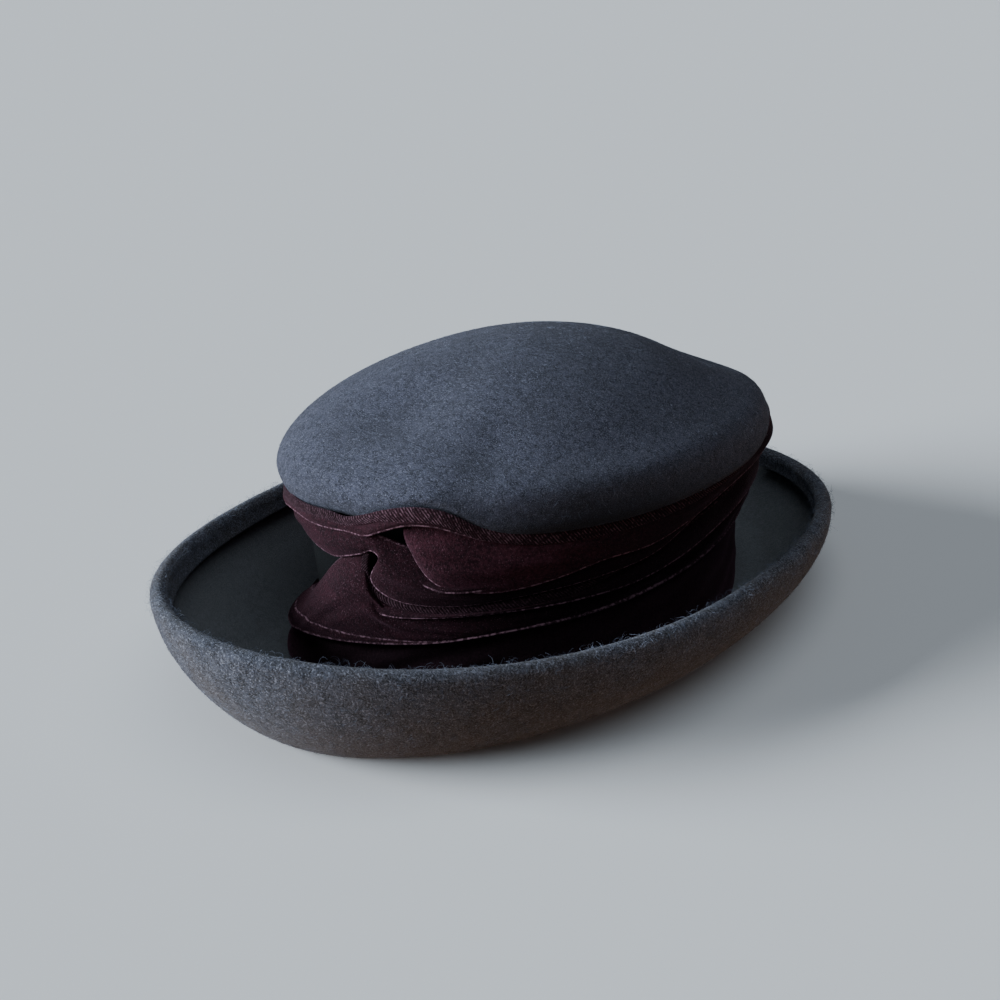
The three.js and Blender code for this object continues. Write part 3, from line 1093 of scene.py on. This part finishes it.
# %% Second edge under the lobe
crescent_rows = [
    (-66, 61, 6.8, -66.6, 60.8, 7, 0.1),
    (-64.6, 61.6, 8, -65.2, 59.6, 9, 0.3),
    (-62, 61, 8.4, -62.8, 57.8, 10, 0.6),
    (-59, 60.6, 8.8, -59.4, 56.4, 10.6, 0.8),
    (-54.6, 60.4, 8.8, -54.4, 56.2, 10.6, 0.8),
    (-48, 60.8, 8.4, -48, 56.8, 9.8, 0.7),
    (-42, 61.6, 7.6, -42, 56.6, 8.4, 0.4),
    (-36, 63, 6.4, -36, 60, 6.8, 0.1),
]
velvet_crescent = ribbon(
    "velvet_crescent", crescent_rows, False, 150, crease_velvet, radius=1.0, wrinkle=0.3, seed=15
)
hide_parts("knot_fold")

# %% Upper fold from lobe to lobe
upper_rows = [
    (-67.2, 82.2, 7, -67.8, 81.4, 7, 0.1),
    (-67.2, 83, 7.4, -67.4, 77, 8, 0.6),
    (-66.6, 83.4, 7.4, -66.2, 72.6, 8.6, 1.2),
    (-65.2, 83.6, 7.4, -64.6, 67, 9.2, 1.9),
    (-62.8, 83.4, 7.4, -62.4, 61.6, 9.6, 2.6),
    (-59.6, 83, 7.4, -59.4, 58, 9.6, 3),
    (-55.6, 82, 7.4, -55, 56.2, 9.4, 3.2),
    (-50.6, 80.4, 7.6, -49, 55, 9.2, 3),
    (-44.4, 78.8, 7.8, -42.4, 55.6, 9, 2.8),
    (-36, 77.4, 8, -34, 57.8, 9, 2.2),
    (-26, 76, 8.2, -25, 60.6, 9, 1.6),
    (-15, 75.4, 8.2, -14, 60.8, 9.2, 1.2),
    (-3, 75.6, 8.2, -3, 64.4, 9.4, 0.8),
    (10, 75.6, 8.2, 10, 68.2, 9.4, 0.5),
    (24, 74.6, 8.2, 24, 68.2, 9.6, 0.5),
    (45, 77.4, 11.6, 45, 66, 11, 2.4),
    (70, 75.6, 9, 70, 62.5, 9.6, 2.2),
    (95, 69.6, 6.4, 95, 60.4, 7.6, 1.6),
    (130, 69.8, 6.8, 130, 61, 8.2, 1.4),
    (180, 72.8, 7.6, 180, 64, 8.8, 1.2),
    (212, 74, 7, 212, 67.2, 8, 0.8),
    (228, 74, 6.8, 228, 67, 7.8, 0.6),
    (238, 75.4, 6.6, 238, 68.6, 7.8, 0.5),
    (248, 77.4, 6.2, 248, 72.8, 7.6, 0.5),
    (256, 79.2, 6, 256, 74.4, 7.6, 0.5),
    (263, 80.6, 6.4, 263, 74.8, 8, 0.6),
    (270, 81.4, 6.8, 270, 75.6, 8.2, 0.6),
    (277, 82, 7.2, 277, 76.8, 8.6, 0.6),
    (283, 83.8, 8, 283, 77, 9.6, 0.7),
    (287.6, 86, 8.8, 288, 80.2, 10.4, 0.7),
    (294, 88, 9.2, 294, 83.4, 10.8, 0.5),
    (300, 87.6, 9.6, 300, 83.2, 10.8, 0.4),
    (305, 84.4, 9.6, 305, 80.4, 10.4, 0.3),
    (310.5, 80, 9.2, 310.5, 76.4, 9.6, 0.1),
]
velvet_upper = ribbon(
    "velvet_upper", upper_rows, False, 640, upper_velvet, radius=1.2, wrinkle=0.5, seed=16, face_rows=30
)
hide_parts("band_upper", "knot_lobe")

# %% [markdown]
# ## Ribbed edges
# Slanting ribs run along the velvet's upper edge, as overcast stitches would make them. The
# same edge turns up again beside the slit in the knot. The ribs are made in the material.

# %% Ribbed upper edge
top_edge_rows = [
    (-150, 77, 7.2, -150, 71, 8, 0.3),
    (-136, 75, 7.8, -136, 69, 8.6, 0.3),
    (-124, 75, 7.4, -124, 70.9, 8.2, 0.3),
    (-112, 79, 6.8, -112, 75, 8, 0.3),
    (-103, 80.4, 6.8, -103, 76.6, 8, 0.3),
    (-96, 81.8, 7, -96, 78, 8, 0.3),
    (-89.5, 83, 7.4, -89.5, 79.2, 8.2, 0.3),
    (-83.6, 82.8, 7.6, -83.6, 79.4, 8.8, 0.3),
    (-78, 85.2, 8.2, -78, 81.6, 9.6, 0.3),
    (-72.4, 88.4, 9, -72.4, 84.4, 10.4, 0.3),
    (-67, 90.4, 9.4, -67, 85, 11, 0.3),
    (-62.5, 90.8, 9.8, -62.5, 85.4, 11.4, 0.3),
    (-58.2, 89.8, 10.2, -58.6, 84.6, 11.6, 0.3),
    (-54.6, 87, 10.2, -55.2, 82.4, 11.6, 0.3),
    (-51.8, 83.8, 10, -52.4, 79.4, 11.2, 0.3),
    (-48.6, 81.6, 9.6, -49, 77, 10.8, 0.3),
    (-43, 80.2, 9.2, -43, 74.4, 10.7, 0.3),
    (-36, 79, 8.8, -36, 72.6, 10.5, 0.3),
    (-26, 78, 8.6, -26, 71.4, 10.3, 0.3),
    (-14, 77.2, 8.4, -14, 70.8, 10.3, 0.3),
    (0, 77, 8.2, 0, 71.4, 10.3, 0.3),
    (14, 76.8, 8.2, 14, 72.6, 10.2, 0.3),
    (30, 77.2, 8.8, 30, 73, 11.2, 0.3),
    (50, 79.6, 11.4, 50, 75, 13.4, 0.5),
    (76, 76.5, 9, 76, 71.8, 10.8, 0.5),
    (98, 70.6, 6.8, 98, 66, 8.6, 0.3),
    (130, 70.8, 7.2, 130, 65.8, 9, 0.3),
    (180, 74.2, 8.2, 180, 68.8, 9.6, 0.3),
]
top_edge = ribbon(
    "velvet_top_edge", top_edge_rows, True, 700, edge_velvet, radius=0.9, wrinkle=0.1, face_rows=12
)

# %% Ribbed edge beside the slit
slit_edge_rows = [
    (-77.8, 69, 6.6, -79.6, 68.8, 6.8, 0.1),
    (-78.4, 65.8, 6.6, -80.6, 64.8, 7, 0.2),
    (-78.8, 60.2, 6.6, -80.9, 58.6, 7.2, 0.2),
    (-77.2, 54.8, 6.6, -78.8, 52.4, 7.2, 0.2),
    (-73, 51.2, 6.6, -74.2, 48.2, 7.4, 0.2),
    (-66, 49.8, 6.6, -66.6, 46.4, 7.4, 0.2),
    (-56, 49.8, 6.6, -56, 45.8, 7.4, 0.2),
    (-44, 51.2, 6.4, -44, 47.2, 7.2, 0.2),
    (-30, 52.8, 6.2, -30, 49.4, 6.6, 0.2),
    (-18, 56.5, 5.8, -18, 54.4, 6, 0.1),
]
slit_edge = ribbon(
    "velvet_slit_edge", slit_edge_rows, False, 260, slit_velvet, radius=0.7, wrinkle=0.1, face_rows=10
)

# %% [markdown]
# ## Loose hairs
# Wool felt is never quite smooth. Single hairs work loose and lie on the surface, and along
# the brim's edge, where hands touch it, they curl up. Each hair is a thin closed tube of a
# few faces that tapers and bends, so thousands of them stay light.

# %% Spread over a surface
def scatter(grid, count, pick):
    corner = grid[:-1, :-1].reshape(-1, 3)
    right = grid[:-1, 1:].reshape(-1, 3) - corner
    up = grid[1:, :-1].reshape(-1, 3) - corner
    across = np.cross(right, up)
    area = np.linalg.norm(across, axis=1)
    chosen = pick.choice(len(area), count, p=area / area.sum())
    share = pick.random((2, count, 1))
    place = corner[chosen] + right[chosen] * share[0] + up[chosen] * share[1]
    return place, across[chosen] / area[chosen][:, None]


def unit(vectors):
    return vectors / np.maximum(np.linalg.norm(vectors, axis=-1, keepdims=True), 1e-12)


# %% Hairs
def hairs(name, grid, count, length, rise, curl, radius, steps, seed):
    """Loose hairs on a grid of points. length, rise and radius are in millimetres."""
    pick = np.random.default_rng(seed)
    place, normal = scatter(grid, count, pick)
    side = unit(np.cross(normal, pick.normal(size=(count, 3))))
    ahead = np.cross(side, normal)
    share = np.linspace(0, 1, steps + 1)[None, :, None]
    long = (pick.uniform(*length, count) * MM)[:, None, None]
    lift = (pick.uniform(*rise, count) * MM)[:, None, None]
    bend = (pick.uniform(0.3, 1, count) * pick.choice([-1, 1], count) * curl)[:, None, None]
    hook = pick.uniform(0.55, 1.0, count)[:, None, None]
    heading = ahead[:, None] * np.cos(bend * share) + side[:, None] * np.sin(bend * share)
    path = place[:, None] + np.cumsum(heading, axis=1) * long / steps
    path = path + normal[:, None] * (lift * np.sin(math.pi * share * hook) - 0.1 * MM)
    forward = unit(np.gradient(path, axis=1))
    first = unit(np.cross(forward, np.cross(normal[:, None], forward)))
    second = np.cross(forward, first)
    thick = radius * MM * (1 - 0.7 * share)
    corners = [
        path + thick * (first * math.cos(turn) + second * math.sin(turn))
        for turn in (0, 2 * math.pi / 3, 4 * math.pi / 3)
    ]
    points = np.stack(corners, axis=2).reshape(-1, 3)
    one = []
    for step in range(steps):
        for corner in range(3):
            a, b = 3 * step + corner, 3 * step + (corner + 1) % 3
            one += [(a, b, b + 3), (a, b + 3, a + 3)]
    last = 3 * steps
    one += [(0, 2, 1), (last, last + 1, last + 2)]
    faces = (np.array(one)[None] + np.arange(count)[:, None, None] * 3 * (steps + 1)).reshape(-1, 3)
    mesh = bpy.data.meshes.new(name)
    mesh.from_pydata(points.tolist(), [], faces.tolist())
    mesh.materials.append(wool_hair)
    piece = bpy.data.objects.new(name, mesh)
    bpy.context.scene.collection.objects.link(piece)
    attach(piece, "root")
    report(piece)
    return piece


# %% Hair material
hair_shader = Shader("wool_hair")
hair_tone = hair_shader.range(hair_shader.noise(hair_shader.place(), 90, detail=1), 0.35, 0.7)
wool_hair = hair_shader.finish(
    Base_Color=hair_shader.mix(hair_tone, rgb(62, 68, 82), rgb(146, 155, 175)),
    Roughness=0.8,
    Specular_IOR_Level=0.2,
)

# %% Hairs on crown and brim
dome_grid = np.array(outside[steps_wall + steps_tuck : -4])
brim_grid = np.array(rows[14:outer_rows])
rim_grid = np.array(rows[outer_rows - 15 : outer_rows + 3])
hairs("hairs_crown", dome_grid, 7000, (1.0, 3.2), (0.1, 0.35), 1.0, 0.036, 3, 21)
hairs("hairs_brim", brim_grid, 7500, (1.2, 3.8), (0.1, 0.5), 1.2, 0.045, 3, 22)
hairs("hairs_rim", rim_grid, 1500, (2.0, 6.0), (0.5, 2.1), 3.2, 0.05, 6, 23)

# %% Close
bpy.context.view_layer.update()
added = [piece for piece in bpy.data.objects if piece.type == "MESH" and piece.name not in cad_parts]
print("triangles added", sum(len(face.vertices) - 2 for piece in added for face in piece.data.polygons))
